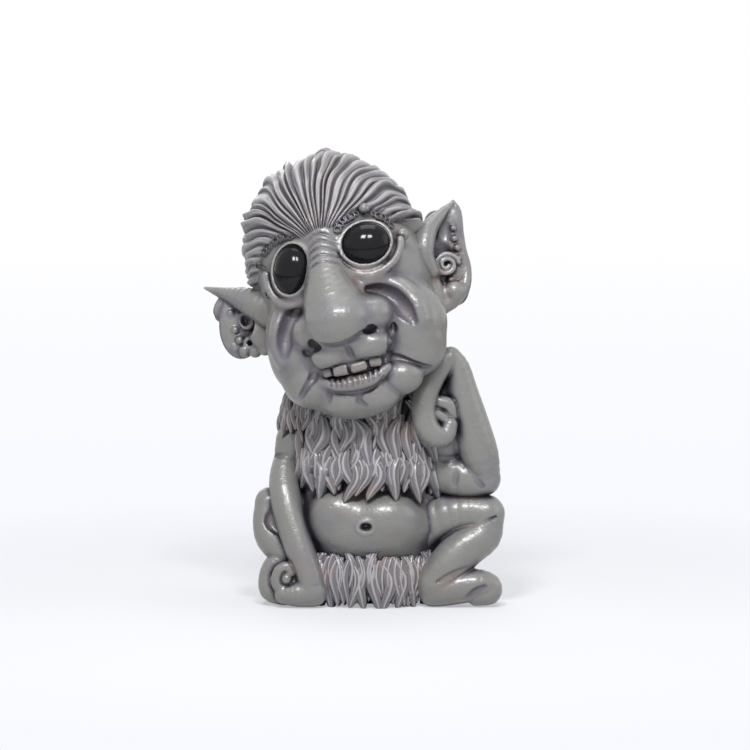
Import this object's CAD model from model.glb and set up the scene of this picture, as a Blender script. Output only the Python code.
import bpy
import math
import numpy as np
from mathutils import Matrix, Vector


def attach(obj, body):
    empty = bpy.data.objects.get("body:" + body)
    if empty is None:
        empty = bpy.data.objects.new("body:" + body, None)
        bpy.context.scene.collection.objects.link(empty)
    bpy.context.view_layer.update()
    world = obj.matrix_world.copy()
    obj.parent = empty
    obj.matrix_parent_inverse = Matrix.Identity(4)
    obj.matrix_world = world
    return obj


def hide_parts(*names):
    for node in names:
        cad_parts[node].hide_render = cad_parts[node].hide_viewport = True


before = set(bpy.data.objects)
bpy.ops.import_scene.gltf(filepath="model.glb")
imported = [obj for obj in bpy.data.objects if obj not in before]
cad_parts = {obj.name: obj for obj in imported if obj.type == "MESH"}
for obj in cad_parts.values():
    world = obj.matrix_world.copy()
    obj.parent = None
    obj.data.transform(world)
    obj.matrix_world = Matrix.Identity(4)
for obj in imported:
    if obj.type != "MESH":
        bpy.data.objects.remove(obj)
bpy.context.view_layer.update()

# Shapes are worked in millimetres and written to the meshes in metres.
metre = 0.001

figure = {
    "headPlace": (-6.6, -6.16, 103.41),
    "headTurn": (-9.0, -12.5, -9.0),      # nod, roll, turn in degrees
    "step": 0.45,       # edge of a clay cell
    "fineStep": 0.38,
    "faceStep": 0.51,
    "teethStep": 0.3,
    "far": 50.0,                          # a depth outside all shapes
    "room": 1.6,                          # reckoned with about a shape, beyond its soft join
    "reach": 0.15,                        # of the four points that give a slope
    "hollows": ((0.7, 0.30), (1.6, 0.35), (3.6, 0.35)),    # how far to feel for one, and its weight
    "seat": {"from": -44, "steps": 70, "share": 0.8, "most": 1.5},
    "clearance": 0.02,                    # of the lowest locks over the ground
}


# Clay: distances from shapes, joined softly, then skinned with a mesh

def floats(values):
    return np.asarray(values, dtype=np.float32)


def turned(nod, roll, turn):
    x, y, z = (Matrix.Rotation(math.radians(a), 3, axis) for a, axis in zip((nod, roll, turn), "XYZ"))
    return floats([list(row) for row in x @ y @ z])


class Clay:
    # Points, and how far each lies outside the shape so far

    def __init__(self, points):
        self.points = points
        self.depth = np.full(len(points), figure["far"], dtype=np.float32)

    def near(self, low, high, soft):
        room = abs(soft) + figure["room"]
        low, high = floats(low) - room, floats(high) + room
        return np.nonzero(np.all((self.points > low) & (self.points < high), axis=1))[0]

    def about(self, middle, reach, soft, turn):
        # The points near a shape, as seen from its middle
        where = self.near(middle - reach, middle + reach, soft)
        spot = self.points[where] - middle
        if turn is not None:
            spot = spot @ (turn if isinstance(turn, np.ndarray) else turned(*turn))
        return where, spot

    def meet(self, where, value, soft, carve):
        old = self.depth[where]
        if carve:
            value = -value
        if soft > 0:
            sign = -1.0 if carve else 1.0
            mix = np.clip(0.5 + 0.5 * sign * (value - old) / soft, 0, 1)
            new = value + (old - value) * mix - sign * soft * mix * (1 - mix)
        else:
            new = np.maximum(old, value) if carve else np.minimum(old, value)
        self.depth[where] = new

    def ball(self, middle, radii, soft=0.0, carve=False, turn=None):
        middle, radii = floats(middle), floats(radii) * np.ones(3, dtype=np.float32)
        reach = radii if turn is None else radii.max() * np.ones(3)
        where, spot = self.about(middle, reach, soft, turn)
        outer = np.linalg.norm(spot / radii, axis=1)
        inner = np.linalg.norm(spot / radii**2, axis=1)
        self.meet(where, outer * (outer - 1) / np.maximum(inner, 1e-6), soft, carve)

    def brick(self, middle, half, edge, soft, turn):
        middle, half = floats(middle), floats(half)
        where, spot = self.about(middle, np.ones(3) * half.max() * 1.5, soft, turn)
        past = np.abs(spot) - (half - edge)
        outer = np.sqrt((np.maximum(past, 0) ** 2).sum(1)) + np.minimum(past.max(1), 0)
        self.meet(where, outer - edge, soft, False)

    def roll(self, rows, soft=0.0, carve=False, smooth=3):
        # A round roll along a smooth path; each row is a place and the radius there
        path, radii = smoothPath(rows, smooth)
        where = self.near(path.min(0) - radii.max(), path.max(0) + radii.max(), soft)
        spot = self.points[where]
        best = np.full(len(spot), figure["far"], dtype=np.float32)
        for start, end, thick, thin in zip(path[:-1], path[1:], radii[:-1], radii[1:]):
            run = end - start
            share = np.clip((spot - start) @ run / max(float(run @ run), 1e-9), 0, 1)
            away = spot - start - share[:, None] * run
            best = np.minimum(best, np.sqrt((away**2).sum(1)) - (thick + (thin - thick) * share))
        self.meet(where, best, soft, carve)

    def rolls(self, paths, soft, carve=True):
        for rows in paths:
            self.roll(rows, soft, carve)

    def wire(self, path, radius, soft, carve=False):
        # A roll of one radius along a path that is smooth already
        self.roll([(*place, radius) for place in path], soft, carve, 1)

    def ground(self):
        # Cuts away what lies under the ground
        self.meet(slice(None), self.points[:, 2], 0.6, True)


def depthOf(shape, points):
    clay = Clay(points)
    shape(clay)
    return clay.depth


def smoothPath(rows, times):
    rows = floats(rows)
    if times < 2 or len(rows) < 3:
        return rows[:, :3], rows[:, 3]
    padded = np.concatenate([2 * rows[:1] - rows[1:2], rows, 2 * rows[-1:] - rows[-2:-1]])
    spots = []
    for i in range(len(rows) - 1):
        a, b, c, d = padded[i : i + 4]
        for t in (k / times for k in range(times)):
            square = (2 * a - 5 * b + 4 * c - d) * t**2
            cube = (3 * b - a - 3 * c + d) * t**3
            spots.append(0.5 * (2 * b + (c - a) * t + square + cube))
    spots = np.array(spots + [rows[-1]], dtype=np.float32)
    return spots[:, :3], np.maximum(spots[:, 3], 0.05)


corners = np.array([(i, j, k) for i in (0, 1) for j in (0, 1) for k in (0, 1)])
cellEdges = [(a, b) for a in range(8) for b in range(a + 1, 8)
    if np.abs(corners[a] - corners[b]).sum() == 1]


def skin(shape, low, high, step):
    # A mesh of quads on the surface where the depth is zero
    low = floats(low)
    count = np.ceil((np.asarray(high) - low) / step).astype(int) + 1
    axes = [low[i] + step * np.arange(count[i], dtype=np.float32) for i in range(3)]
    depth = np.empty(tuple(count), dtype=np.float32)
    slices = 24
    for start in range(0, count[0], slices):
        part = slice(start, start + slices)
        grid = np.stack(np.meshgrid(axes[0][part], axes[1], axes[2], indexing="ij"), axis=-1)
        depth[part] = depthOf(shape, grid.reshape(-1, 3)).reshape(grid.shape[:3])
    inside = depth < 0
    total = np.zeros(tuple(count - 1), dtype=np.uint8)
    for i, j, k in corners:
        total += inside[i : count[0] - 1 + i, j : count[1] - 1 + j, k : count[2] - 1 + k]
    active = (total > 0) & (total < 8)
    cells = np.argwhere(active)
    cellNumber = np.full(active.shape, -1, dtype=np.int64)
    cellNumber[active] = np.arange(len(cells))
    values = [depth[tuple((cells + c).T)] for c in corners]
    place = np.zeros((len(cells), 3))
    hits = np.zeros(len(cells))
    for a, b in cellEdges:
        crossed = (values[a] < 0) != (values[b] < 0)
        share = np.where(crossed, values[a] / np.where(crossed, values[a] - values[b], 1), 0)
        point = corners[a] + share[:, None] * (corners[b] - corners[a])
        place += point * crossed[:, None]
        hits += crossed
    points = low + step * (cells + place / hits[:, None])
    quads = []
    for axis in range(3):
        # a quad for each edge of the grid that passes through the surface
        first, second = (axis + 1) % 3, (axis + 2) % 3
        spots = np.argwhere(np.diff(inside, axis=axis))
        for side in (first, second):
            spots = spots[(spots[:, side] > 0) & (spots[:, side] < count[side] - 1)]
        along, up = np.eye(3, dtype=int)[[first, second]]
        ring = [spots, spots - along, spots - along - up, spots - up]
        quad = np.stack([cellNumber[tuple(cell.T)] for cell in ring], axis=1)
        opening = ~inside[tuple(spots.T)]
        quad[opening] = quad[opening][:, ::-1]
        quads.append(quad)
    quads = np.concatenate(quads)
    # Two steps pull the points on to the surface
    for turn in range(2):
        slope, value = slopeOf(shape, points)
        points = points - slope * np.clip(value, -0.4 * step, 0.4 * step)[:, None]
    return points, quads


def slopeOf(shape, points):
    points = points.astype(np.float32)
    slope = np.zeros_like(points)
    for tip in floats([(1, -1, -1), (-1, -1, 1), (-1, 1, -1), (1, 1, 1)]):
        slope += tip * depthOf(shape, points + tip * figure["reach"])[:, None]
    slope /= np.maximum(np.linalg.norm(slope, axis=1, keepdims=True), 1e-6)
    return slope, depthOf(shape, points)


def hollows(shape, points):
    # How far each point sits in a crevice, and how far it stands on a ridge
    slope, value = slopeOf(shape, points)
    points = points.astype(np.float32)
    crevice = np.zeros(len(points), dtype=np.float32)
    ridge = np.zeros(len(points), dtype=np.float32)
    for reach, weight in figure["hollows"]:
        crevice += weight * np.clip((reach - depthOf(shape, points + slope * reach)) / reach, 0, 1)
        ridge += weight * np.clip((reach + depthOf(shape, points - slope * reach)) / reach, 0, 1)
    return np.clip(crevice, 0, 1), np.clip(ridge, 0, 1)


def linked(name, data):
    piece = bpy.data.objects.new(name, data)
    bpy.context.scene.collection.objects.link(piece)
    return piece


def meshFrom(name, points, quads, marks=None, triangles=()):
    mesh = bpy.data.meshes.new(name)
    points = floats(points)
    quads = np.asarray(quads, dtype=np.int32).reshape(-1, 4)
    triangles = np.asarray(triangles, dtype=np.int32).reshape(-1, 3)
    count = len(quads) + len(triangles)
    mesh.vertices.add(len(points))
    mesh.vertices.foreach_set("co", (points * metre).ravel())
    mesh.loops.add(quads.size + triangles.size)
    mesh.loops.foreach_set("vertex_index", np.concatenate([quads.ravel(), triangles.ravel()]))
    mesh.polygons.add(count)
    starts = np.concatenate([np.arange(0, quads.size, 4), quads.size + np.arange(0, triangles.size, 3)])
    mesh.polygons.foreach_set("loop_start", starts.astype(np.int32))
    mesh.polygons.foreach_set("use_smooth", np.ones(count, dtype=bool))
    mesh.update()
    mesh.validate()
    for key, values in (marks or {}).items():
        mesh.attributes.new(key, "FLOAT", "POINT").data.foreach_set("value", floats(values))
    return linked(name, mesh)


def sculpt(name, shape, low, high, step, place=None, among=None):
    points, quads = skin(shape, low, high, step)
    crevice, ridge = hollows(among or shape, points)
    if place is not None:
        points = place(points)
    piece = meshFrom(name, points, quads, {"crevice": crevice, "ridge": ridge})
    print(name, len(quads), "quads")
    return piece


headMatrix = turned(*figure["headTurn"])
headPlace = floats(figure["headPlace"])


def fromHead(points):
    return points @ headMatrix.T + headPlace


def wear(piece, material, slotName, *nodes):
    piece.data.materials.clear()
    piece.data.materials.append(material)
    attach(piece, "root")
    if nodes:
        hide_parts(*nodes)


# Face, in the head's own frame: left is +X, back is +Y, up is +Z

eyes = {
    "right": {"place": (-14.2, -24.8, 9.2), "radii": (5.9, 8.0), "turn": -11.0, "tilt": -16.0},
    "left": {"place": (11.4, -24.1, 12.0), "radii": (7.7, 6.6), "turn": 9.0, "tilt": 4.0},
    "lift": 8.0,
    "crown": 4.2,                         # how far the bead stands out, and how deep it sits
    "root": 3.0,
}


def eyeAxes(eye):
    turn, lift, tilt = (math.radians(a) for a in (eye["turn"], eyes["lift"], eye["tilt"]))
    out = Vector((math.sin(turn) * math.cos(lift), -math.cos(turn) * math.cos(lift), math.sin(lift)))
    side = Vector((0, 0, 1)).cross(out).normalized()
    up = out.cross(side)
    first = side * math.cos(tilt) + up * math.sin(tilt)
    second = up * math.cos(tilt) - side * math.sin(tilt)
    return np.array([first, second, out], dtype=np.float32).T


def eyeRim(eye, grow, rise, start=0.0, sweep=360.0, count=25):
    axes = eyeAxes(eye)
    path = []
    for k in range(count):
        a = math.radians(start + sweep * k / (count - 1))
        flat = (axes[:, 0] * (eye["radii"][0] + grow) * math.cos(a)
            + axes[:, 1] * (eye["radii"][1] + grow) * math.sin(a))
        path.append(np.array(eye["place"]) + flat + axes[:, 2] * rise)
    return path


def skullShape(clay):
    clay.ball((-3.6, 2, 16), (27.2, 27, 28.2))
    clay.ball((-1, 0, 4), (27.8, 27, 27.5), 3)
    clay.ball((-0.5, -1.5, -14), (27.6, 25.4, 26), 6)


def plainFace(clay):
    # The face before its folds, grooves and lids
    skullShape(clay)
    clay.ball((-2, -14, -33.5), (15, 12, 9), 5)
    # cheeks and jowls
    clay.ball((-18, -13.5, -13), (11.5, 12.5, 14), 4)
    clay.ball((18.5, -13.5, -15), (12, 13, 14), 4)
    clay.ball((-18.8, -10, -20.5), (10.4, 11, 10), 4)
    clay.ball((-15.3, -15.5, -27.4), (11, 9.5, 9), 3)
    clay.ball((17, -13.5, -25), (11, 10, 8.5), 3)
    clay.ball((-7.4, -20, -36), (5, 4.5, 4.2), 3)
    clay.ball((4, -19.5, -37), (6.5, 5, 4.4), 3)
    # muzzle
    clay.ball((-2, -22.5, -20), (13, 8.5, 7), 3)
    clay.ball((-7.4, -27, -21.4), (7, 5.6, 4), 0.8)
    clay.ball((5.6, -27, -20.4), (7.6, 6, 5), 0.8)


def seated(shape, rows):
    # Rows of place across, height and lift, walked from ahead on to the front of a shape
    rows, seat = floats(rows), figure["seat"]
    spots = np.stack([rows[:, 0], np.full(len(rows), seat["from"], dtype=np.float32), rows[:, 1]], axis=1)
    for turn in range(seat["steps"]):
        spots[:, 1] += seat["share"] * np.clip(depthOf(shape, spots), -seat["most"], seat["most"])
    spots[:, 1] -= rows[:, 2]
    return spots


# Each row is place across, height, lift over the face and radius
folds = {
    "ridges": (
        ((7.4, -1.4, -0.6, 1.3), (10.4, -0.4, -1.1, 2.1), (15.2, -1.6, -1.5, 2.8),
         (19.8, -5.2, -1.6, 3), (22.9, -10.4, -1.8, 2.9), (23.6, -15.8, -1.6, 2.2)),
        ((-12.4, 0.6, -0.6, 1.4), (-17.2, -0.8, -1.2, 2.2), (-20.8, -3.8, -1.5, 2.6),
         (-23.2, -8.8, -1.6, 2.7), (-24.8, -14, -1.5, 2.4), (-24.4, -18.6, -1.3, 1.8)),
    ),
    "hollows": (
        ((8.8, -3, 0.3, 0.8), (12.4, -4.2, 0, 1.9), (16, -7.2, -0.2, 2.7),
         (19, -11.6, -0.1, 2.5), (21.2, -16, 0.2, 0.9)),
        ((-13, -1.6, 0.2, 1), (-16.2, -4.4, 0, 2.3), (-19, -8.8, -0.2, 2.8),
         (-21.2, -13.2, 0, 2.4), (-22.3, -17, 0.3, 0.9)),
    ),
    "grooves": (
        ((14.6, -11.5, 0.4, 0.8), (14, -17, 0.2, 1.3), (12.8, -21.6, 0.1, 1.5), (10.4, -24.8, 0, 1.3)),
        ((-15.8, -14.8, 0.3, 0.8), (-14.8, -18.6, 0, 1.5), (-14, -22.4, 0, 1.8),
         (-14.6, -26, 0, 1.6), (-17.2, -28.6, 0.2, 1.2), (-20.8, -32, 0.3, 0.7)),
        ((9.4, -25.4, 0, 1.2), (13.4, -26.6, 0.2, 1.2), (17.4, -29.4, 0.3, 1.1), (22, -31.6, 0.3, 0.8)),
        ((-10.4, -31.8, 0.3, 0.5), (-11.2, -33.6, 0.2, 0.8), (-11.8, -35.2, 0.3, 0.4)),
    ),
}


def addNose(clay):
    clay.roll([(-2, -22.6, 17, 4.6), (-3, -24.8, 9, 5.8), (-3.3, -26.8, 1, 7.6), (-2.8, -28, -6, 9.8),
        (-2, -28.8, -10.5, 10.6)], 3)
    clay.ball((-2, -31, -10.6), (10.6, 9, 7.4), 2)
    clay.ball((-12.6, -26.2, -12), (5.6, 6.2, 5.4), 2.6)
    clay.ball((8.8, -26.8, -11), (6.6, 6.8, 5.8), 3)
    clay.ball((-10.3, -30.2, -16.2), (2.6, 2.8, 2.6), 0.8, True)
    clay.ball((6.6, -30.4, -15.2), (2.8, 2.8, 2.2), 0.8, True)


def nosedFace(clay):
    plainFace(clay)
    addNose(clay)


def addRow(clay):
    # The lower row of the mouth
    clay.roll([(-12, -23.6, -28.6, 1.8), (-7.5, -25.4, -30.8, 2.4), (-1, -26.4, -31.4, 2.6),
        (4.5, -25.8, -31, 2.4), (9.3, -24, -28.8, 1.8)], 0.9)


def rowedFace(clay):
    nosedFace(clay)
    addRow(clay)


def laid(shape, rows):
    spots = seated(shape, [place[:3] for row in rows for place in row])
    ends = np.cumsum([len(row) for row in rows])[:-1]
    return [np.column_stack([path, np.array(row)[:, 3]]) for path, row in zip(np.split(spots, ends), rows)]


def mouthLine(x):
    # An upright line over the lower row, which hangs lower away from its middle
    drop = 0.022 * (x + 1) ** 2
    return ((x, -29.2 + drop, 0.1, 0.2), (x + 0.2, -31 + drop, 0.05, 0.42),
        (x + 0.1, -32.8 + drop, 0.1, 0.25))


folded = {kind: laid(plainFace, rows) for kind, rows in folds.items()}
wrinkles = laid(nosedFace, [
    ((-7, 17 - 2.3 * k, 0.1, 0.25), (-3.4, 18.6 - 2.4 * k, 0.1, 0.42),
     (0.2, 17.2 - 2.3 * k, 0.1, 0.42), (2.4, 15.4 - 2 * k, 0.1, 0.25))
    for k in range(5)
])
underNose = laid(nosedFace, (
    ((-8.2, -17.4, 0.2, 0.6), (-4.4, -18.7, 0, 1), (-1, -18.9, 0, 1.1), (2.2, -18.1, 0, 1.1),
     (5.2, -16.8, 0, 0.9), (9.5, -16.4, 0.2, 0.5)),
    ((-0.6, -19.6, 0.2, 0.5), (-0.4, -21.6, 0.2, 0.8), (-0.2, -23.6, 0.3, 0.5)),
))
mouthLines = laid(rowedFace, [mouthLine(x) for x in (-9.6, -7.9, -6.1, -4.4, -2.4, -0.6, 1.3, 3.1, 4.7, 6.6)])
chinLines = laid(rowedFace, (
    ((-10.8, -31.6, 0.2, 0.4), (-6, -34, 0.1, 0.7), (-1.4, -34.8, 0.2, 0.7), (3.4, -34.2, 0.1, 0.7),
     (7.8, -31.8, 0.2, 0.5)),
    ((-0.8, -35.4, 0.1, 0.4), (-1.8, -37.2, 0, 0.7), (-0.4, -39, 0.1, 0.4)),
))


def faceShape(clay):
    plainFace(clay)
    clay.rolls(folded["ridges"], 2.4, False)
    clay.rolls(folded["hollows"], 1.8)
    clay.rolls(folded["grooves"], 0.8)
    clay.ball((12.4, -17.8, -32), (7.3, 7, 6.2), 0.8)
    addNose(clay)
    clay.rolls(underNose, 0.7)
    # mouth, then the lower row with its fine upright lines
    clay.roll([(-11.2, -27, -25.6, 1), (-7, -29.2, -26.6, 2.1), (-1.8, -30.4, -26.8, 2.4),
        (3.5, -30, -26.6, 2.2), (8.8, -27.8, -25.4, 1.1)], 0.6, True)
    addRow(clay)
    clay.rolls(mouthLines, 0.4)
    clay.rolls(chinLines, 1)
    clay.roll([(23.8, -19.4, -19.2, 0.4), (24.8, -18, -20.7, 0.9), (25.2, -16.2, -22.8, 0.4)], 0.3, True)
    # eyes: a bag below with its crease, a lid all round, and the socket
    for eye in (eyes["right"], eyes["left"]):
        wide, tall = eye["radii"]
        clay.wire(eyeRim(eye, 3.4, -1.2, 190, 160), 1.3, 2.6)
        clay.wire(eyeRim(eye, 2, 0.9, 185, 170), 0.45, 0.8, True)
        clay.wire(eyeRim(eye, 0.4, 0.1), 0.85, 1.8)
        clay.ball(eye["place"], (wide + 0.3, tall + 0.3, 6.5), 0.3, True, turn=eyeAxes(eye))
    clay.rolls(wrinkles, 0.5)
    # warts at the temples
    for place, size in (((22.6, -17.6, 12.6), 2.2), ((12.6, -20, 23.6), 1.9), ((-26, -12.8, 15.8), 2.1),
            ((-29.4, -3, 9.7), 2.4)):
        clay.ball(place, size, 0.6)


# Ears, in the head's own frame

def spiral(middle, across, side, first, last, turns, count=26):
    # Round and round in an upright plane, from the first radius to the last
    path = []
    for k in range(count):
        share = k / (count - 1)
        a = 2 * math.pi * turns * share
        radius = first + (last - first) * share
        path.append(np.array(middle)
            + radius * (side * math.cos(a) * np.array(across) + math.sin(a) * np.array((0, 0, 1))))
    return path


def rightEarShape(clay):
    clay.ball((-39.4, 4.6, -2.4), (7.4, 1.8, 11.2), turn=(0, 12, 18))
    clay.ball((-40.5, 5.4, 5), (7.6, 1.6, 5), 1, turn=(0, -24, 18))
    clay.ball((-32.5, 1.6, -4), (5, 4, 9), 1.5)
    # beads along the rim, and smaller ones within
    for x, y, z, r in ((-45.4, 6.2, 2.4, 2.2), (-44.3, 5.8, -1.6, 2.1), (-44, 5.6, -5.4, 2.1),
            (-42.8, 5, -9, 2.2), (-39.8, 4.2, -11, 2.2), (-36.2, 3.2, -12, 2.2), (-32.8, 2.4, -12, 2.3)):
        clay.ball((x, y - 0.9, z), (r, 2, r), 0.5)
    for x, y, z, r in ((-41.6, 3.6, 2.2, 1.5), (-41.4, 3.4, -3.6, 1.5), (-40.6, 3.2, -7.2, 1.5),
            (-33.6, 0.4, -7.6, 1.6)):
        clay.ball((x, y - 0.4, z), (r, 1.7, r), 0.4)
    clay.ball((-36.6, 0.4, -2.4), (3.9, 3.4, 4.4), 0.8, True)
    clay.wire(spiral((-37.2, 2.6, -1.7), (1, -0.3, 0), -1, 3.2, 1.3, 1.35), 0.85, 0.3)
    clay.ball((-37.6, 2.2, -1.4), (1.3, 2.4, 1.7), 0.3, True)
    clay.wire(spiral((-37.3, 2, -9), (1, -0.3, 0), -1, 1.7, 1.5, 1), 0.75, 0.3)
    clay.ball((-37.3, 1, -9), 1, 0.2, True)
    clay.roll([(-27.5, -1.8, 0, 6), (-32.6, -0.8, 3.4, 4.9), (-38.2, 2, 6.8, 3.3), (-43.8, 5.2, 9.8, 1.9),
        (-49.2, 8.2, 12.8, 0.5)], 0.5)


def leftEarShape(clay):
    clay.ball((32.2, 5.6, 4), (6.8, 1.9, 16.2), turn=(0, -4, 0))
    clay.ball((35, 5.8, 14.6), (4.6, 1.6, 6.6), 1, turn=(0, 16, 0))
    clay.roll([(38.4, 6.6, 21.6, 0.6), (39.2, 6.8, 18, 1.2), (38.4, 6.8, 11.6, 1.3),
        (37.9, 6.6, 5.6, 1.4), (38, 6.2, -0.6, 1.6), (36.2, 5, -6.4, 2), (32.2, 3.4, -10.2, 2.4),
        (28, 2, -11.6, 2.8)], 0.6)
    clay.ball((32.6, 2.6, -7.8), (3.6, 2.8, 3.6), 1.2)
    clay.ball((31.4, 1, 4.4), (4.4, 4.4, 7.2), 0.8, True)
    clay.ball((34.2, 2.2, 12.2), (2.4, 2.6, 4.6), 0.6, True, turn=(0, 14, 0))
    for x, z, r in ((36.4, 9.4, 1.3), (36.6, 6.2, 1.4), (36.2, 2.8, 1.3), (36.8, 12.8, 1.1),
            (32.4, -3.6, 1.6), (35.2, -5.6, 1.5)):
        clay.ball((x, 4.6, z), (r, 1.9, r), 0.4)
    clay.wire(spiral((32.2, 1.8, 1.4), (1, 0.35, 0), 1, 3.9, 0.9, 1.9, 36), 0.85, 0.25)
    clay.roll([(38.4, 6.4, 21.6, 0.5), (33.2, 3, 17.6, 2), (29.2, 0.4, 14, 3), (27.2, -1.8, 9.6, 3.3),
        (26.4, -2.4, 5, 3), (27.6, -1.2, 0.2, 2.2)], 0.6)
    clay.roll([(25, 2, 12, 4), (25, 1.6, 4, 3.4), (27, 1.8, -8, 3)], 2)


def tuftShape(clay):
    # A small lock that stands up on the crown
    clay.roll([(-4.6, 9, 42, 2.2), (-2.2, 6.6, 45.4, 2.4), (0.8, 4.6, 46.6, 2.1), (2.8, 3.2, 45, 0.8)], 0.5)
    clay.roll([(-2.4, 8.6, 43, 1.8), (0.8, 6, 46.4, 1.7), (3, 4.4, 45, 1.3), (3.2, 3.4, 43, 0.6)], 0.3)
    clay.roll([(-5.2, 4.6, 46.4, 0.3), (-1.6, 2.6, 47.8, 0.5), (1.4, 1.6, 46.2, 0.3)], 0.4, True)


# Torso and limbs, in the figure's frame

def torsoShape(clay):
    clay.ball((0, 0.4, 15), (23.2, 18.8, 19), 0)
    clay.ball((-1, -6.2, 26.6), (23.4, 17.8, 13.6), 3)
    clay.ball((0, 2.6, 26), (23.6, 19, 27), 4)
    clay.ball((-11.5, -15.2, 32.5), (7.4, 6.6, 6), 5)
    clay.ball((5.5, -17, 30.5), (8.4, 7.2, 6.6), 5)
    clay.ball((13, -1, 64), (8.5, 8, 9), 4)
    clay.ball((-1, 0.5, 47), (20.5, 16.5, 21), 6)
    clay.ball((-17, 0, 54), (8, 8, 9), 5)
    clay.ball((16, -1, 54), (9, 9, 9), 5)
    clay.ball((20, -1.5, 38), (7.5, 10, 12), 4)
    clay.ball((-19, -1, 32), (7, 9, 14), 4)
    clay.roll([(-2, 0, 58, 13), (-4, -1, 76, 12)], 4)
    clay.wire(oval((-2, -23.7, 27.4), 2.3, 1.7, 17), 0.4, 1.6)
    clay.ball((-2, -25.2, 27.4), (1.9, 3.8, 1.35), 0.7, True)
    clay.ground()


def oval(middle, half, tall, count):
    path = []
    for k in range(count):
        a = 2 * math.pi * k / (count - 1)
        path.append((middle[0] + half * math.cos(a), middle[1], middle[2] + tall * math.sin(a)))
    return path


def leftLegShape(clay):
    clay.roll([(13, -2, 23, 11), (22, -7, 27.6, 9), (31, -10.5, 30.2, 7.2), (37.4, -12, 30.2, 6.4)])
    clay.roll([(37.4, -12.2, 27.6, 6), (36.2, -13, 23.2, 6.4), (31, -14.6, 19.6, 6.8),
        (25.2, -15.6, 13.8, 6.8), (20.6, -16, 7.6, 6)], 0.6)
    clay.roll([(21.4, -18.6, 20.8, 0.7), (26, -21, 23.2, 0.9), (31, -20.8, 25.6, 1),
        (36.6, -19.4, 28, 0.7), (40.4, -17, 29.8, 0.3)], 0.9, True)
    clay.roll([(20.6, -15.8, 5.4, 5.6), (27.6, -16.4, 6.4, 5.6), (33.6, -16.6, 7.2, 5.4),
        (38.2, -16.6, 7, 4.2), (38.6, -17, 4.6, 3.8), (34.4, -17.2, 3.8, 3.4)], 0.4)
    clay.roll([(31.4, -21.4, 4.2, 0.4), (34.4, -21.8, 6, 1), (37, -21.2, 7.4, 0.4)], 1, True)
    clay.roll([(21.6, -22, 9, 0.5), (25.6, -22.4, 11.2, 0.9), (31, -21.2, 13, 0.8),
        (36.8, -18.6, 13.4, 0.4)], 0.7, True)
    clay.ground()


def rightLegShape(clay):
    clay.roll([(-14, 0, 24, 9.8), (-25, -3, 30, 8), (-33.4, -5.5, 32.4, 5)])
    clay.ball((-34.4, -6, 34.6), (3.6, 3.6, 3.6), 1.4)
    clay.roll([(-34.2, -6.5, 33, 4.4), (-34.6, -7.8, 27.2, 4.8), (-33.2, -9.4, 21.8, 5.2),
        (-28.8, -10.8, 17, 5)], 0.9)
    clay.roll([(-33.2, -12.2, 31.6, 0.8), (-33.4, -13.2, 28, 2.2), (-31.4, -13.4, 24.6, 1)], 0.8, True)
    clay.roll([(-28.6, -12, 15.2, 3.6), (-32.2, -12.6, 13.4, 3.4), (-34.2, -13.2, 9.6, 3.1),
        (-33.6, -13.8, 5, 3.4), (-29, -13.8, 3.6, 3.6)], 0.4)
    clay.ball((-29.6, -12.4, 8.4), (4.6, 3.6, 6), 1)
    clay.wire(spiral((-31.4, -16, 8.2), (1, 0, 0), 1, 1.7, 1, 1.2), 0.8, 0.3)
    clay.roll([(-34.4, -17.2, 11.4, 0.3), (-31.6, -17.6, 12.2, 0.7), (-29, -17.2, 10.6, 0.3)], 0.5, True)
    clay.ground()


def rightArmShape(clay):
    clay.roll([(-19, 0, 57, 7.4), (-25.4, -2.2, 55, 5.8), (-27.4, -3.2, 50.4, 4.8)])
    clay.roll([(-28.6, -4, 47.4, 3.9), (-29.2, -7, 41.6, 4.7), (-28.4, -10.6, 35, 5.2),
        (-26.2, -14, 26.6, 5.1), (-23.4, -16.8, 18.2, 4.9), (-20.6, -18.4, 10.2, 4.5),
        (-19.8, -18.6, 6, 4.4)], 0.7)
    clay.roll([(-32, -5.6, 48.6, 0.5), (-29.6, -8.4, 49.2, 0.9), (-25.6, -9.2, 49.8, 1),
        (-21, -8.4, 50.6, 0.8)], 0.7, True)
    clay.roll([(-19.2, -18.6, 4.9, 4.6), (-24, -18.6, 4.6, 4.3), (-28.6, -18.4, 4.4, 3.4)], 0.8)
    clay.roll([(-28, -18.6, 5, 2.5), (-31, -18.6, 8, 2.1), (-30.4, -19, 12.2, 1.9),
        (-27.8, -19.2, 13.6, 1.8), (-26.6, -19.4, 11.6, 1.6)], 0.4)
    clay.ball((-28, -20.2, 9.8), (1.7, 1.9, 1.9), 0.3)
    clay.ball((-27.6, -17, 9.4), (3.6, 2.8, 4), 0.6)
    clay.roll([(-24, -23.2, 8.6, 0.2), (-20, -23.6, 7.8, 0.4), (-16, -22, 8.4, 0.2)], 0.5, True)
    clay.ground()


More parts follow.
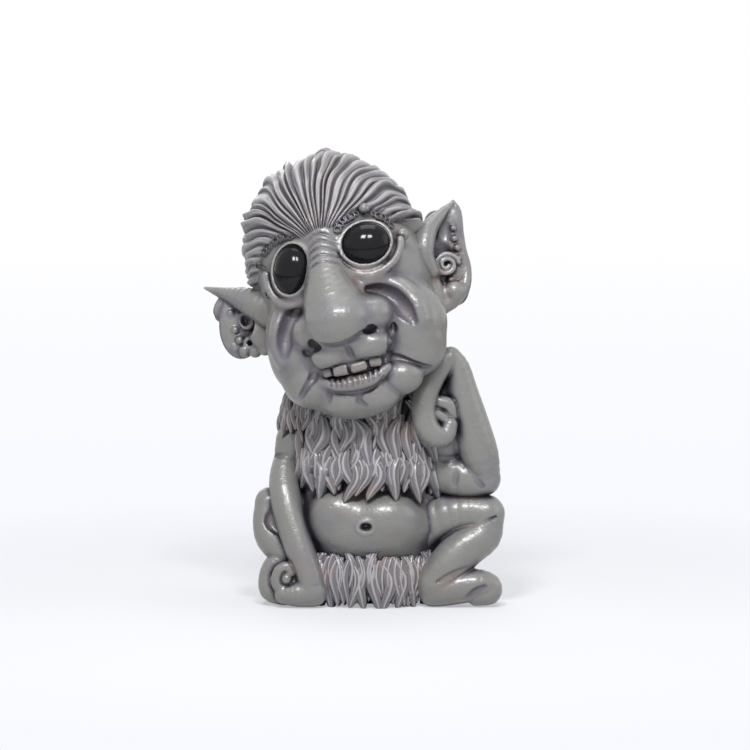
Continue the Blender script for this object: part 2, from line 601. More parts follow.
def leftArmShape(clay):
    clay.roll([(15, -1, 52, 9.4), (23, -6.5, 45, 8.4), (31, -10.5, 41.8, 7), (37, -12, 41.4, 5.2)])
    clay.roll([(37.6, -12.5, 42.4, 4.6), (35.4, -13.6, 50, 6.2), (32.2, -14.2, 60.4, 6.2),
        (29.6, -14.6, 70.4, 5.3), (28, -15, 78.4, 4.2), (25.8, -15.6, 82.4, 3.4)], 0.8)
    clay.roll([(23.4, -10, 76, 3.4), (25, -12, 66, 5.4), (24.6, -11, 54, 5.8)], 1.5)
    clay.roll([(25.6, -15.8, 82.2, 3.4), (21.4, -18.2, 78.4, 3.9), (18.4, -20, 73, 4),
        (16.8, -21.2, 66.8, 4), (17.6, -21.8, 60.8, 4), (20.6, -21.8, 57.2, 3.8), (24, -21.2, 57.4, 3.2),
        (25.4, -20.6, 60.6, 2.6)], 0.6)
    clay.roll([(22, -19.4, 68, 2.3), (25, -19.2, 67, 2.3), (26.2, -19, 63.6, 2)], 0.4)
    clay.roll([(21.2, -20.4, 64, 2.1), (23.4, -20.4, 62.8, 1.9)], 0.4)
    clay.roll([(27.2, -16.6, 46.6, 0.4), (27.4, -17.4, 43.6, 1.1), (27, -17, 40.6, 0.8)], 0.8, True)
    clay.roll([(30.6, -18, 46.6, 0.4), (33.4, -18.4, 43.2, 0.9), (36.2, -17.2, 40, 0.6)], 0.8, True)


def wholeBody(clay):
    # The nearest of the limbs, for the wash that gathers between them
    for shape in (torsoShape, leftLegShape, rightLegShape, rightArmShape, leftArmShape):
        clay.depth = np.minimum(clay.depth, depthOf(shape, clay.points))


# Hair: a cap of combed ridges that fan out from the bridge of the nose to the back

hair = {
    "centre": (-3.0, 1.0, 6.0),
    "ahead": (0, -0.965, 0.262),         # from the centre to the bridge, and at right angles to it
    "up": (0, 0.262, 0.965),
    "ridges": 64,
    "fan": (-90.0, 270.0),               # degrees about the bridge, from the nape all the way round
    "back": 176.0,                       # degrees from the bridge to where the ridges meet
    "perRidge": 9,
    "along": 130,
    "height": 1.7,
    "tall": (0.55, 1.3),                 # share of the height, for each ridge
    "thick": 1.2,
    "root": 0.9,                         # how far the edge reaches under the skin
    "sway": (0.026, 0.016),
    "strand": 0.36,                      # share of the height in the combing, and in the nicks
    "notch": 0.35,
    "lumps": (0.24, 0.13),
    # degrees about the bridge, and degrees from the bridge to the hairline there
    "line": ((-90, 136), (-72, 128), (-40, 112), (-10, 100), (8, 92), (15, 72), (18, 53), (24, 48), (31, 42),
        (38, 34), (43, 24), (48, 14), (56, 9), (75, 8), (105, 8), (122, 10), (138, 14), (144, 22), (149, 30),
        (156, 37), (162, 45), (168, 52), (174, 60), (179, 72), (184, 90), (200, 100), (225, 112), (252, 128),
        (270, 136)),
}


def hairPiece():
    dice = np.random.default_rng(11)
    ridges, per = hair["ridges"], hair["perRidge"]
    centre, ahead, up = (np.array(hair[key]) for key in ("centre", "ahead", "up"))
    # each column of points belongs to a ridge, and lies at a share of its width
    across = np.linspace(0, ridges, ridges * per + 1)
    number = np.minimum(across.astype(int), ridges - 1)
    part = across - number
    edges = np.arange(ridges + 1) + np.concatenate([[0], dice.uniform(-0.3, 0.3, ridges - 1), [0]])
    fan = np.interp(across, np.arange(ridges + 1), edges) / ridges
    low, high = (math.radians(a) for a in hair["fan"])
    fan = low + (high - low) * fan
    line = np.radians(np.array(hair["line"], dtype=float))
    start = np.interp(fan, line[:, 0], line[:, 1])
    along = np.linspace(0, 1, hair["along"])[:, None] ** 1.25
    reach = start + (math.radians(hair["back"]) - start) * along
    tall = (dice.uniform(*hair["tall"], ridges) * (1 + 0.25 * np.sin(np.arange(ridges) * 1.1)))[number]
    phase = dice.uniform(0, 6.3, ridges)[number]
    wide, fine = hair["sway"]
    sway = wide * np.sin(reach * 5.2 + fan * 3) + fine * np.sin(reach * 9 + fan * 7)
    turn = fan + sway * np.clip(along * 6, 0, 1)
    way = np.cos(reach)[..., None] * ahead + np.sin(reach)[..., None] * (
        np.cos(turn)[..., None] * np.array((1.0, 0, 0)) + np.sin(turn)[..., None] * up)
    way = way.reshape(-1, 3)
    # each point walks in from afar until it meets the skull
    distance = np.full(len(way), 40.0)
    for walk in range(16):
        distance = distance - 0.9 * depthOf(skullShape, floats(centre + way * distance[:, None]))
    distance = distance.reshape(reach.shape)
    # the section of a ridge, with finer combing and nicks, and how it rises from the hairline
    swell = 1 - np.abs(2 * part - 1) ** 2.6
    strand = hair["strand"] * np.abs(np.sin(math.pi * (part * 2 + 0.35 * np.sin(reach * 4 + phase)))) ** 0.7
    nick = np.exp(-(((part - 0.5 + 0.25 * np.sin(reach * 3 + phase)) / 0.10) ** 2))
    notch = hair["notch"] * nick * np.clip(np.sin(reach * 4.5 + phase * 2) * 1.6, 0, 1)
    broad, small = hair["lumps"]
    lumps = 1 + broad * np.sin(reach * 7.5 + phase) + small * np.sin(reach * 17 + 2 * phase)
    past = np.degrees(reach - start)
    rise = np.clip(past / 6, 0, 1) * np.clip((1 - along) * 8, 0.3, 1)
    profile = np.clip(swell * (0.76 + strand) - notch * swell, 0, None)
    height = hair["height"] * tall * lumps * rise * profile
    base = -hair["root"] + (hair["thick"] + hair["root"]) * np.clip(past / 5, 0, 1)
    points = centre + way * (distance + base + height).reshape(-1)[:, None]
    rows, columns = reach.shape
    cell = np.arange(rows * columns).reshape(rows, columns)
    quads = np.stack([cell[:-1, :-1], cell[:-1, 1:], cell[1:, 1:], cell[1:, :-1]], axis=-1).reshape(-1, 4)
    # a skirt turns in from the rim and closes at the centre
    rim = np.concatenate([cell[0, :-1], cell[:-1, -1], cell[-1, :0:-1], cell[:0:-1, 0]])
    ring = len(points) + np.arange(len(rim))
    heart = np.full(len(rim), len(points) + len(rim))
    points = np.concatenate([points, points[rim] * 0.82 + centre * 0.18, [centre]])
    nextRim, nextRing = np.roll(rim, -1), np.roll(ring, -1)
    skirt = np.stack([rim, ring, nextRing, nextRim], axis=-1)
    relief = np.clip(profile * (0.6 + 0.4 * lumps), 0, 1.3).reshape(-1) * 1.5
    extra = np.zeros(len(rim) + 1)
    worn = np.concatenate([np.clip(relief - 0.82, 0, 1), extra])
    deep = np.concatenate([np.clip(1.15 - relief, 0, 1) * np.clip(past / 4, 0.2, 1).reshape(-1), extra])
    return meshFrom("hairCap", fromHead(points), np.concatenate([quads, skirt]),
        {"crevice": deep, "ridge": worn}, np.stack([ring, heart, nextRing], axis=-1))


# Small shapes: beads for the eyes, teeth, and locks of fur

def beadPiece(name, eye, rows=28, columns=64):
    # A domed bead: a point at each end, and rings of points between
    axes = eyeAxes(eye)
    points = []
    for i in range(rows + 1):
        a = math.pi * i / rows
        crown = eyes["crown"] if a < math.pi / 2 else eyes["root"]
        for b in (2 * math.pi * j / columns for j in range(columns if 0 < i < rows else 1)):
            spot = (eye["radii"][0] * math.sin(a) * math.cos(b),
                eye["radii"][1] * math.sin(a) * math.sin(b), crown * math.cos(a))
            points.append(np.array(eye["place"]) + axes @ np.array(spot))
    ring = [(j, (j + 1) % columns) for j in range(columns)]
    starts = [1 + columns * i for i in range(rows - 1)]
    quads = [(a + j, b + j, b + k, a + k) for a, b in zip(starts, starts[1:]) for j, k in ring]
    last = starts[-1]
    triangles = [end for j, k in ring for end in ((0, 1 + j, 1 + k), (len(points) - 1, last + k, last + j))]
    return meshFrom(name, fromHead(np.array(points)), quads, None, triangles)


teeth = {
    "places": ((-9.4, -26.6, -26.2), (-4.9, -28.2, -26.6), (1, -28.7, -26.7), (6.2, -27.2, -26.2)),
    "half": ((1.8, 1.3, 1.4), (2.6, 1.5, 1.7), (2.8, 1.5, 1.5), (2.2, 1.4, 1.5)),
    "turns": ((3, -5, -24), (-4, 4, -8), (3, -3, 6), (-3, 6, 20)),
}


def teethShape(clay):
    for place, half, turn in zip(teeth["places"], teeth["half"], teeth["turns"]):
        clay.brick(place, half, 1, 0.3, turn)
    clay.roll([(-9.5, -25.4, -25.8, 1.3), (-4.9, -26.8, -26.2, 1.5), (1, -27.3, -26.3, 1.5),
        (6.2, -26, -25.8, 1.3)], 0.2)


def lockMesh(name, bend, strands, rows=16, columns=13):
    # A flame of fur that lies along +X and swells towards +Z, one unit long and one wide
    points = []
    high = []
    for i in range(rows + 1):
        s = i / rows
        wide = 0.5 * max(math.sin(math.pi * (0.10 + 0.90 * s) ** 0.9), 0.0) ** 0.65 + 0.01
        middle = bend * (math.sin(math.pi * 1.15 * s) + 0.25 * math.sin(2 * math.pi * s))
        for j in range(columns + 1):
            t = 2 * j / columns - 1
            swell = (1 - abs(t) ** 2.4) * (0.5 + 0.5 * abs(math.cos(math.pi * strands * t / 2)))
            lift = 0.5 + 0.5 * math.sin(math.pi * min(s * 1.2, 1.0))
            points.append((s, middle + wide * t, swell * lift * min(1, 2.5 * wide) + 0.15 * s))
            high.append(swell)
        for j in range(columns - 1, 0, -3):
            t = 2 * j / columns - 1
            points.append((s, middle + wide * t, -0.8 + 0.15 * s))
            high.append(0)
    around = len(points) // (rows + 1)
    starts = [i * around for i in range(rows)]
    turns = [(j, (j + 1) % around) for j in range(around)]
    quads = [(i + j, i + around + j, i + around + k, i + k) for i in starts for j, k in turns]
    ends = [(i, i + j, i + j + 1) for i in (0, rows * around) for j in range(1, around - 1)]
    triangles = [end[::-1] if end[0] else end for end in ends]
    high = np.array(high)
    marks = {"crevice": np.clip(1.05 - high * 1.5, 0, 1), "ridge": np.clip(high * 2.4 - 1.5, 0, 1)}
    return meshFrom(name, np.array(points) / metre, quads, marks, triangles)


# Node trees, written as sums

def sumOf(operation, flip=False):
    return lambda value, other: value.math(operation, other, flip=flip)


class Value:
    # A socket that can be reckoned with like a number

    def __init__(self, tree, socket):
        self.tree = tree
        self.socket = socket

    def math(self, operation, *others, flip=False):
        node = self.tree.nodes.new("ShaderNodeMath")
        node.operation = operation
        terms = [self, *others]
        for slot, term in zip(node.inputs, reversed(terms) if flip else terms):
            plug(self.tree, slot, term)
        return Value(self.tree, node.outputs[0])

    __add__, __radd__ = sumOf("ADD"), sumOf("ADD", True)
    __sub__, __rsub__ = sumOf("SUBTRACT"), sumOf("SUBTRACT", True)
    __mul__, __rmul__ = sumOf("MULTIPLY"), sumOf("MULTIPLY", True)
    __truediv__, __rtruediv__ = sumOf("DIVIDE"), sumOf("DIVIDE", True)

    def within(self, low=0.0, high=1.0):
        return self.math("MAXIMUM", low).math("MINIMUM", high)


def plug(tree, slot, term):
    if isinstance(term, Value):
        tree.links.new(term.socket, slot)
    else:
        slot.default_value = term


def add(tree, kind, inputs=None, output=0, **settings):
    # A node with its settings and inputs; gives the wanted output
    node = tree.nodes.new(kind)
    for key, value in settings.items():
        setattr(node, key, value)
    for key, value in (inputs or {}).items():
        plug(tree, node.inputs[key], value)
    return Value(tree, node.outputs[output]) if len(node.outputs) else node


def noise(tree, where, scale, detail):
    return add(tree, "ShaderNodeTexNoise", {"Vector": where, "Scale": scale, "Detail": detail})


def vector(tree, x, y, z):
    return add(tree, "ShaderNodeCombineXYZ", {"X": x, "Y": y, "Z": z})


def newTree(name, sockets):
    # Each socket has its usual value, or the name of its kind where it has none
    tree = bpy.data.node_groups.new(name, "GeometryNodeTree")
    for label, value in sockets.items():
        kind = value if isinstance(value, str) else {int: "Int", float: "Float"}[type(value)]
        socket = tree.interface.new_socket(label, in_out="INPUT", socket_type="NodeSocket" + kind)
        if value is not kind:
            socket.default_value = value
    tree.interface.new_socket("Geometry", in_out="OUTPUT", socket_type="NodeSocketGeometry")
    start = tree.nodes.new("NodeGroupInput")
    return tree, {label: Value(tree, start.outputs[label]) for label in sockets}


def endTree(tree, geometry, material):
    solid = add(tree, "GeometryNodeRealizeInstances", {"Geometry": geometry})
    painted = add(tree, "GeometryNodeSetMaterial", {"Geometry": solid, "Material": material})
    end = tree.nodes.new("NodeGroupOutput")
    tree.links.new(painted.socket, end.inputs["Geometry"])


def grown(name, tree, values, seedPoints=None):
    # Runs a tree on a piece and keeps the plain mesh it makes
    piece = seedPoints or linked(name, bpy.data.meshes.new(name))
    modifier = piece.modifiers.new("grow", "NODES")
    modifier.node_group = tree
    for item in tree.interface.items_tree:
        if item.in_out == "INPUT" and item.name in values:
            modifier[item.identifier] = values[item.name]
    piece.update_tag()
    graph = bpy.context.evaluated_depsgraph_get()
    mesh = bpy.data.meshes.new_from_object(piece.evaluated_get(graph), depsgraph=graph)
    mesh.name = name
    piece.modifiers.clear()
    piece.data = mesh
    piece.name = name
    for polygon in mesh.polygons:
        polygon.use_smooth = True
    print(name, len(mesh.polygons), "faces")
    return piece


def chance(tree, low, high, seed):
    return add(tree, "FunctionNodeRandomValue", {2: low, 3: high, "Seed": seed}, 1, data_type="FLOAT")


ringRules = {
    "turn": 0.3,                         # how far a lock may stray along its row, in locks
    "level": 0.0012,                     # and up or down, in metres
    "width": (0.8, 1.25),
    "hoop": (0.75, 1.2),                 # size of the pressed rings of the brows
}


def ringOfLocks():
    tree, given = newTree("ringOfLocks", {
        "Rows": 3, "Per Row": 30, "Start": 0.0, "Sweep": 6.2832, "Middle": "Vector", "Half Width": 0.02,
        "Half Depth": 0.02, "Widen": 0.0, "Top": 0.06, "Bottom": 0.04, "Length": 0.014, "Width": 0.004,
        "Thickness": 0.002, "Lift": 0.1, "Sway": 0.2, "Spread": 0.2, "Seed": 1, "Lock A": "Object",
        "Lock B": "Object", "Material": "Material",
    })
    stray, level, widths = ringRules["turn"], ringRules["level"], ringRules["width"]
    seed, perRow = given["Seed"], given["Per Row"]
    index = add(tree, "GeometryNodeInputIndex")
    row = (index / perRow).math("FLOOR")
    inRow = index - row * perRow
    down = row / (given["Rows"] - 1).within(1.0, 99.0)
    jitter = chance(tree, -stray, stray, seed)
    turn = given["Start"] + given["Sweep"] * (inRow + 0.5 * row + jitter) / perRow
    across = given["Half Width"] + given["Widen"] * down
    deep = given["Half Depth"] + given["Widen"] * down
    cosine, sine = turn.math("COSINE"), turn.math("SINE")
    tall = given["Top"] + (given["Bottom"] - given["Top"]) * down + chance(tree, -level, level, seed + 1)
    spot = vector(tree, across * cosine, deep * sine, tall)
    spot = add(tree, "ShaderNodeVectorMath", {0: spot, 1: given["Middle"]}, operation="ADD")
    outward = vector(tree, cosine / across, sine / deep, given["Lift"] / across)
    sway = given["Sway"] * chance(tree, -1.0, 1.0, seed + 2)
    hang = vector(tree, sine * sway, cosine * sway * -1.0, -1.0)
    rotation = add(tree, "FunctionNodeAxesToRotation", {"Primary Axis": outward, "Secondary Axis": hang},
        primary_axis="Z", secondary_axis="X")
    size = chance(tree, 1.0 - given["Spread"], 1.0 + given["Spread"], seed + 3)
    scale = vector(tree, given["Length"] * size, given["Width"] * chance(tree, *widths, seed + 4),
        given["Thickness"] * size)
    locks = tree.nodes.new("GeometryNodeJoinGeometry")
    for label in ("Lock B", "Lock A"):
        lock = add(tree, "GeometryNodeObjectInfo", {"Object": given[label]}, "Geometry",
            transform_space="ORIGINAL")
        lock = add(tree, "GeometryNodeGeometryToInstance", {"Geometry": lock})
        tree.links.new(lock.socket, locks.inputs[0])
    points = add(tree, "GeometryNodePoints", {"Count": given["Rows"] * perRow, "Position": spot})
    kind = add(tree, "FunctionNodeRandomValue", {4: 0, 5: 1, "Seed": seed + 5}, 2, data_type="INT")
    placed = add(tree, "GeometryNodeInstanceOnPoints", {
        "Points": points, "Instance": Value(tree, locks.outputs[0]), "Pick Instance": True,
        "Instance Index": kind, "Rotation": rotation, "Scale": scale,
    })
    endTree(tree, placed, given["Material"])
    return tree


def ringsOnPoints():
    tree, given = newTree("ringsOnPoints", {"Geometry": "Geometry", "Ring Radius": 0.0012,
        "Wire Radius": 0.0004, "Seed": 3, "Material": "Material"})
    ring = add(tree, "GeometryNodeCurvePrimitiveCircle", {"Resolution": 20, "Radius": given["Ring Radius"]})
    wire = add(tree, "GeometryNodeCurvePrimitiveCircle", {"Resolution": 8, "Radius": given["Wire Radius"]})
    hoop = add(tree, "GeometryNodeCurveToMesh", {"Curve": ring, "Profile Curve": wire})
    out = add(tree, "GeometryNodeInputNamedAttribute", {"Name": "out"}, "Attribute",
        data_type="FLOAT_VECTOR")
    rotation = add(tree, "FunctionNodeAlignRotationToVector", {"Vector": out}, axis="Z")
    size = chance(tree, *ringRules["hoop"], given["Seed"])
    placed = add(tree, "GeometryNodeInstanceOnPoints", {
        "Points": given["Geometry"], "Instance": hoop, "Rotation": rotation, "Scale": size,
    })
    endTree(tree, placed, given["Material"])
    return tree


# Materials

cast = {
    "grey": (0.195, 0.197, 0.186, 1),
    "worn": (0.35, 0.35, 0.335, 1),
    "lilac": (0.170, 0.158, 0.195, 1),
    "brown": (0.215, 0.165, 0.152, 1),
    "mauve": (0.088, 0.076, 0.106, 1),
    "rust": (0.145, 0.098, 0.088, 1),
    "dark": (0.010, 0.009, 0.012, 1),
    "stained": 0.42,
    "relief": 0.00050,                   # depth of the fine bumps, in metres
}
furLook = {
    **cast,
    "grey": (0.170, 0.162, 0.168, 1),
    "worn": (0.44, 0.43, 0.44, 1),
    "lilac": (0.190, 0.172, 0.222, 1),
    "brown": (0.250, 0.178, 0.162, 1),
    "mauve": (0.085, 0.072, 0.100, 1),
    "rust": (0.135, 0.090, 0.080, 1),
    "stained": 0.9,
}


def mixed(tree, share, low, high):
    return add(tree, "ShaderNodeMix", {"Factor": share, 6: low, 7: high}, 2, data_type="RGBA")


def blankTree(owner):
    owner.use_nodes = True
    owner.node_tree.nodes.clear()
    return owner.node_tree


def resin(name, look, washed=1.0):
    # Cast resin: a grey coat, washed dark in the hollows, worn pale on the ridges, then varnished
    material = bpy.data.materials.new(name)
    tree = blankTree(material)
    where = add(tree, "ShaderNodeTexCoord", None, "Object")
    crevice = add(tree, "ShaderNodeAttribute", None, "Fac", attribute_name="crevice")
    ridge = add(tree, "ShaderNodeAttribute", None, "Fac", attribute_name="ridge")
    broad = noise(tree, where, 55, 3)
    patch = noise(tree, where, 85, 4)
    middle = noise(tree, where, 210, 4)
    fine = noise(tree, where, 1300, 3)
    pores = add(tree, "ShaderNodeTexVoronoi", {"Vector": where, "Scale": 260.0}, "Distance")
    pinholes = add(tree, "ShaderNodeTexVoronoi", {"Vector": where, "Scale": 95.0}, "Distance")
    uneven = (middle - 0.5) * 0.5 + (fine - 0.5) * 0.35
    wash = (((crevice - 0.03) * 3.8 + uneven * 0.8) * washed).within()
    deep = ((crevice - 0.29) * 3.2 + uneven * 0.9).within()
    rubbed = ((ridge - 0.36) * 2.2 + uneven * 1.3).within()
    rust = ((broad - 0.52) * 6.0 + (middle - 0.5) * 2.0).within()
    tint = mixed(tree, rust, look["mauve"], look["rust"])
    stain = ((patch - 0.46) * 5.0 + (middle - 0.5) * 2.4).within() * look["stained"]
    colour = mixed(tree, stain, look["grey"], mixed(tree, rust, look["lilac"], look["brown"]))
    colour = mixed(tree, rubbed * 0.75, colour, look["worn"])
    colour = mixed(tree, wash * 0.85, colour, tint)
    colour = mixed(tree, deep * 0.92, colour, look["dark"])
    pit = (1.0 - pinholes * 34.0).within()
    colour = mixed(tree, pit * 0.85, colour, look["dark"])
    rough = 0.34 + (fine - 0.5) * 0.34 + wash * 0.14 + (middle - 0.5) * 0.20
    height = fine * 0.35 + middle * 0.5 - (1.0 - pores * 5.0).within() * 0.25 - pit * 1.4
    bump = add(tree, "ShaderNodeBump", {"Height": height, "Strength": 0.8, "Distance": look["relief"]})
    shader = add(tree, "ShaderNodeBsdfPrincipled", {
        "Base Color": colour, "Roughness": rough.within(0.2, 0.8), "Normal": bump, "Coat Weight": 0.5,
        "Coat Roughness": 0.2, "Specular IOR Level": 0.6,
    })
    add(tree, "ShaderNodeOutputMaterial", {"Surface": shader})
    return material


def glass(name):
    # The eyes: black, domed and glossy, a little dusty
    material = bpy.data.materials.new(name)
    tree = blankTree(material)
    where = add(tree, "ShaderNodeTexCoord", None, "Object")
    haze = ((noise(tree, where, 700, 3) - 0.55) * 3.0).within()
    colour = mixed(tree, haze * 0.25, (0.006, 0.006, 0.008, 1), (0.030, 0.030, 0.034, 1))
    shader = add(tree, "ShaderNodeBsdfPrincipled", {
        "Base Color": colour, "Roughness": 0.10 + haze * 0.12, "Specular IOR Level": 0.22,
    })
    add(tree, "ShaderNodeOutputMaterial", {"Surface": shader})
    return material


# Making the pieces

skinLook = resin("castResin", cast)
hairLook = resin("furResin", furLook, 1.1)
ringLook = resin("ringResin", {**cast, "grey": (0.045, 0.040, 0.048, 1), "worn": (0.12, 0.11, 0.12, 1)})
eyeLook = glass("eyeGlass")
toothLook = resin("toothResin", {**cast, "grey": (0.190, 0.168, 0.158, 1), "worn": (0.30, 0.28, 0.265, 1)})

step, fineStep = figure["step"], figure["fineStep"]

# each limb has its shape, the two corners of its room, the cell's edge and the nodes it replaces
limbs = {
    "torsoSkin": (torsoShape, (-28, -26, -1), (28, 23, 78), step * 1.2, ("torso",)),
    "leftLeg": (leftLegShape, (2, -27, -1), (46, 12, 42), step,
        ("left_thigh", "left_shin", "left_foot", "left_toe")),
    "rightLeg": (rightLegShape, (-42, -20, -1), (-3, 12, 42), step,
        ("right_thigh", "right_shin", "right_foot")),
    "rightArm": (rightArmShape, (-36, -26, -1), (-9, 10, 66), step,
        ("right_upper_arm", "right_forearm", "right_hand", "right_thumb")),
    "leftArm": (leftArmShape, (4, -28, 33), (46, 10, 88), step,
        ("left_upper_arm", "left_forearm", "left_hand", "left_thumb")),
}
for name, (shape, low, high, cell, nodes) in limbs.items():
    wear(sculpt(name, shape, low, high, cell, None, wholeBody), skinLook, "cast", *nodes)

face = sculpt("face", faceShape, (-34, -42, -48), (33, 31, 47), figure["faceStep"], fromHead)
wear(face, skinLook, "cast", "head", "nose", "right_cheek", "left_cheek", "chin", "jowl", "upper_lip",
    "lower_gum", "right_eyelid", "left_eyelid")
rightEar = sculpt("rightEar", rightEarShape, (-55, -9, -18), (-26, 13, 18), fineStep, fromHead)
wear(rightEar, skinLook, "cast", "right_ear", "right_ear_curl")
leftEar = sculpt("leftEar", leftEarShape, (19, -9, -17), (44, 13, 25), fineStep, fromHead)
wear(leftEar, skinLook, "cast", "left_ear", "left_ear_curl")
wear(hairPiece(), hairLook, "hair", "hair")
wear(sculpt("crownTuft", tuftShape, (-11, -2, 38), (7, 15, 51), fineStep, fromHead), hairLook, "hair",
    "crown_tuft")
wear(sculpt("teeth", teethShape, (-14, -33, -31), (11, -22, -21), figure["teethStep"], fromHead),
    toothLook, "tooth", "upper_teeth")
wear(beadPiece("rightEye", eyes["right"]), eyeLook, "eye", "right_eye")
wear(beadPiece("leftEye", eyes["left"]), eyeLook, "eye", "left_eye")

lockA = lockMesh("lockA", 0.36, 3)
lockB = lockMesh("lockB", -0.26, 3)
locks = ringOfLocks()
fur = {
    "upperFur": {
        "Rows": 4, "Per Row": 34, "Half Width": 0.0208, "Half Depth": 0.0168, "Widen": 0.0030,
        "Top": 0.0700, "Bottom": 0.0618, "Middle": (0, -0.0014, 0), "Length": 0.0138, "Width": 0.0056,
        "Thickness": 0.0022, "Lift": 0.10, "Sway": 0.22, "Spread": 0.16, "Seed": 5,
    },
    "lowerFur": {
        "Rows": 4, "Per Row": 36, "Half Width": 0.0222, "Half Depth": 0.0180, "Widen": 0.0014,
        "Top": 0.0560, "Bottom": 0.0494, "Middle": (-0.0004, -0.0028, 0), "Length": 0.0128, "Width": 0.0052,
        "Thickness": 0.0022, "Lift": 0.05, "Sway": 0.22, "Spread": 0.16, "Seed": 17,
    },
    "loinFur": {
        "Rows": 3, "Per Row": 46, "Half Width": 0.0222, "Half Depth": 0.0188, "Widen": 0.0006,
        "Top": 0.0176, "Bottom": 0.0152, "Middle": (-0.0004, -0.0014, 0), "Length": 0.0156, "Width": 0.0046,
        "Thickness": 0.0022, "Lift": 0.01, "Sway": 0.10, "Spread": 0.06, "Seed": 29,
    },
    "shoulderTuft": {
        "Rows": 3, "Per Row": 14, "Start": 2.5, "Sweep": 2.6, "Half Width": 0.0074, "Half Depth": 0.0084,
        "Widen": 0.0012, "Top": 0.0700, "Bottom": 0.0650, "Middle": (-0.0200, -0.0022, 0),
        "Length": 0.0092, "Width": 0.0028, "Thickness": 0.0018, "Lift": 0.16, "Sway": 0.18, "Spread": 0.16,
        "Seed": 41,
    },
}
replaced = {"upperFur": "upper_chest_fur", "lowerFur": "lower_chest_fur", "loinFur": "loin_fur",
    "shoulderTuft": "right_shoulder_tuft", "rightBrow": "right_brow", "leftBrow": "left_brow"}
for name, values in fur.items():
    piece = grown(name, locks, {**values, "Lock A": lockA, "Lock B": lockB, "Material": hairLook})
    if name == "loinFur":
        # the tips end on the ground
        tips = np.empty(len(piece.data.vertices) * 3, dtype=np.float32)
        piece.data.vertices.foreach_get("co", tips)
        tips = tips.reshape(-1, 3)
        tips[:, 2] = np.maximum(tips[:, 2], figure["clearance"] * metre)
        piece.data.vertices.foreach_set("co", tips.ravel())
        piece.data.update()
    wear(piece, hairLook, "hair", replaced[name])
for lock in (lockA, lockB):
    bpy.data.objects.remove(lock)

# places across and up the face, in millimetres
brows = {
    "rightBrow": ((-25.6, 3.9), (-24.8, 11.9), (-26.1, 13.7), (-24, 17.3), (-22.4, 17.6), (-21, 18),
        (-19.4, 19.2), (-17.7, 19.9), (-15.8, 20.4), (-13.8, 20.3), (-12.2, 19.9)),
    "leftBrow": ((3.5, 18.4), (4.4, 20), (5.6, 21.3), (7, 21.6), (8.4, 22), (9.9, 22.4), (15, 21.4),
        (16.3, 20.4), (17.5, 19.7), (18.5, 18.4), (19.5, 16.7), (13.6, 22)),
}
hoops = ringsOnPoints()
for name, places in brows.items():
    seats = seated(faceShape, [(x, z, 0.9) for x, z in places])
    slope, depth = slopeOf(faceShape, seats)
    mesh = bpy.data.meshes.new(name)
    mesh.from_pydata([tuple(v) for v in fromHead(seats) * metre], [], [])
    mesh.attributes.new("out", "FLOAT_VECTOR", "POINT").data.foreach_set("vector",
        (slope @ headMatrix.T).astype(np.float32).ravel())
    piece = grown(name, hoops, {"Ring Radius": 0.00100, "Wire Radius": 0.00030, "Seed": 3,
        "Material": ringLook}, linked(name, mesh))
    wear(piece, ringLook, "cast", replaced[name])

# Floor, light and camera

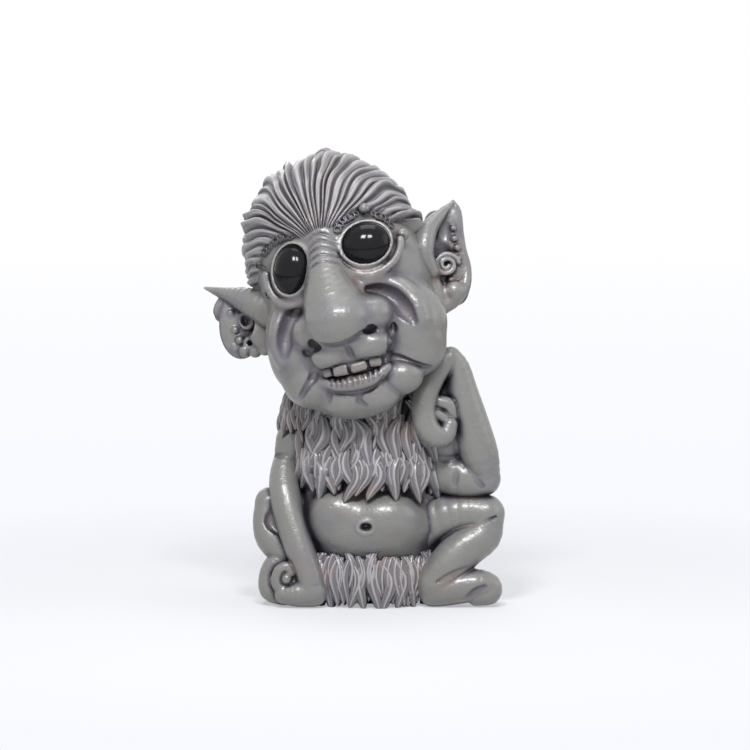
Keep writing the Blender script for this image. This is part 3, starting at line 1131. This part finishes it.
floor = linked("floor", bpy.data.meshes.new("floor"))
floor.data.from_pydata([(-3, -2, 0), (3, -2, 0), (3, 6, 0), (-3, 6, 0)], [], [(0, 1, 2, 3)])
ground = bpy.data.materials.new("paper")
tree = blankTree(ground)
sheen = add(tree, "ShaderNodeBsdfPrincipled", {"Base Color": (0.88, 0.885, 0.90, 1), "Roughness": 0.8})
rays = tree.nodes.new("ShaderNodeLightPath")
where = add(tree, "ShaderNodeTexCoord", None, "Object")
away = add(tree, "ShaderNodeVectorMath", {0: where}, "Value", operation="LENGTH")
far = ((away - 0.15) * 0.6).within()
paper = add(tree, "ShaderNodeEmission",
    {"Color": mixed(tree, far, (0.93, 0.945, 1.0, 1), (1.0, 1.0, 1.0, 1)), "Strength": 1.0})
clear = (0.40 + ((away - 0.06) * 5.0).within() * 0.60) * Value(tree, rays.outputs["Is Camera Ray"])
sheen = add(tree, "ShaderNodeMixShader", {0: clear, 1: sheen, 2: paper})
add(tree, "ShaderNodeOutputMaterial", {"Surface": sheen})
floor.data.materials.append(ground)

scene = bpy.context.scene
scene.world = bpy.data.worlds.new("studio")
tree = blankTree(scene.world)
rays = tree.nodes.new("ShaderNodeLightPath")
camera, glossy, through = (Value(tree, rays.outputs[f"Is {kind} Ray"])
    for kind in ("Camera", "Glossy", "Transmission"))
seen = camera.math("MAXIMUM", glossy).math("MAXIMUM", through)
plain = add(tree, "ShaderNodeBackground", {"Color": (0.80, 0.81, 0.83, 1), "Strength": 0.14})
bright = add(tree, "ShaderNodeBackground", {"Color": (1, 1, 1, 1), "Strength": 1.0})
both = add(tree, "ShaderNodeMixShader", {0: seen, 1: plain, 2: bright})
add(tree, "ShaderNodeOutputWorld", {"Surface": both})

# each lamp has its place, the edge of its square and its power
lamps = {
    "keyLeft": ((-0.16, -0.62, 0.72), 0.16, 4.1),
    "keyRight": ((0.10, -0.66, 0.74), 0.16, 3.7),
    "side": ((0.75, -0.10, 0.40), 0.5, 0.8),
    "top": ((0.0, 0.10, 0.95), 0.5, 2.2),
    "back": ((-0.30, 0.95, 0.55), 0.5, 0.9),
}
view = {"place": (0.0010, -1.3742, 0.2073), "tilt": 84.5, "lens": 200, "aim": (0, 0, 0.075)}
for name, (place, size, power) in lamps.items():
    light = bpy.data.lights.new(name, "AREA")
    light.shape = "SQUARE"
    light.size = size
    light.energy = power
    lamp = linked(name, light)
    lamp.location = place
    lamp.rotation_euler = (Vector(view["aim"]) - Vector(place)).to_track_quat("-Z", "Y").to_euler()

scene.camera = linked("camera", bpy.data.cameras.new("camera"))
scene.camera.data.lens = view["lens"]
scene.camera.location = view["place"]
scene.camera.rotation_euler = (math.radians(view["tilt"]), 0, 0)
scene.view_settings.view_transform = "Standard"
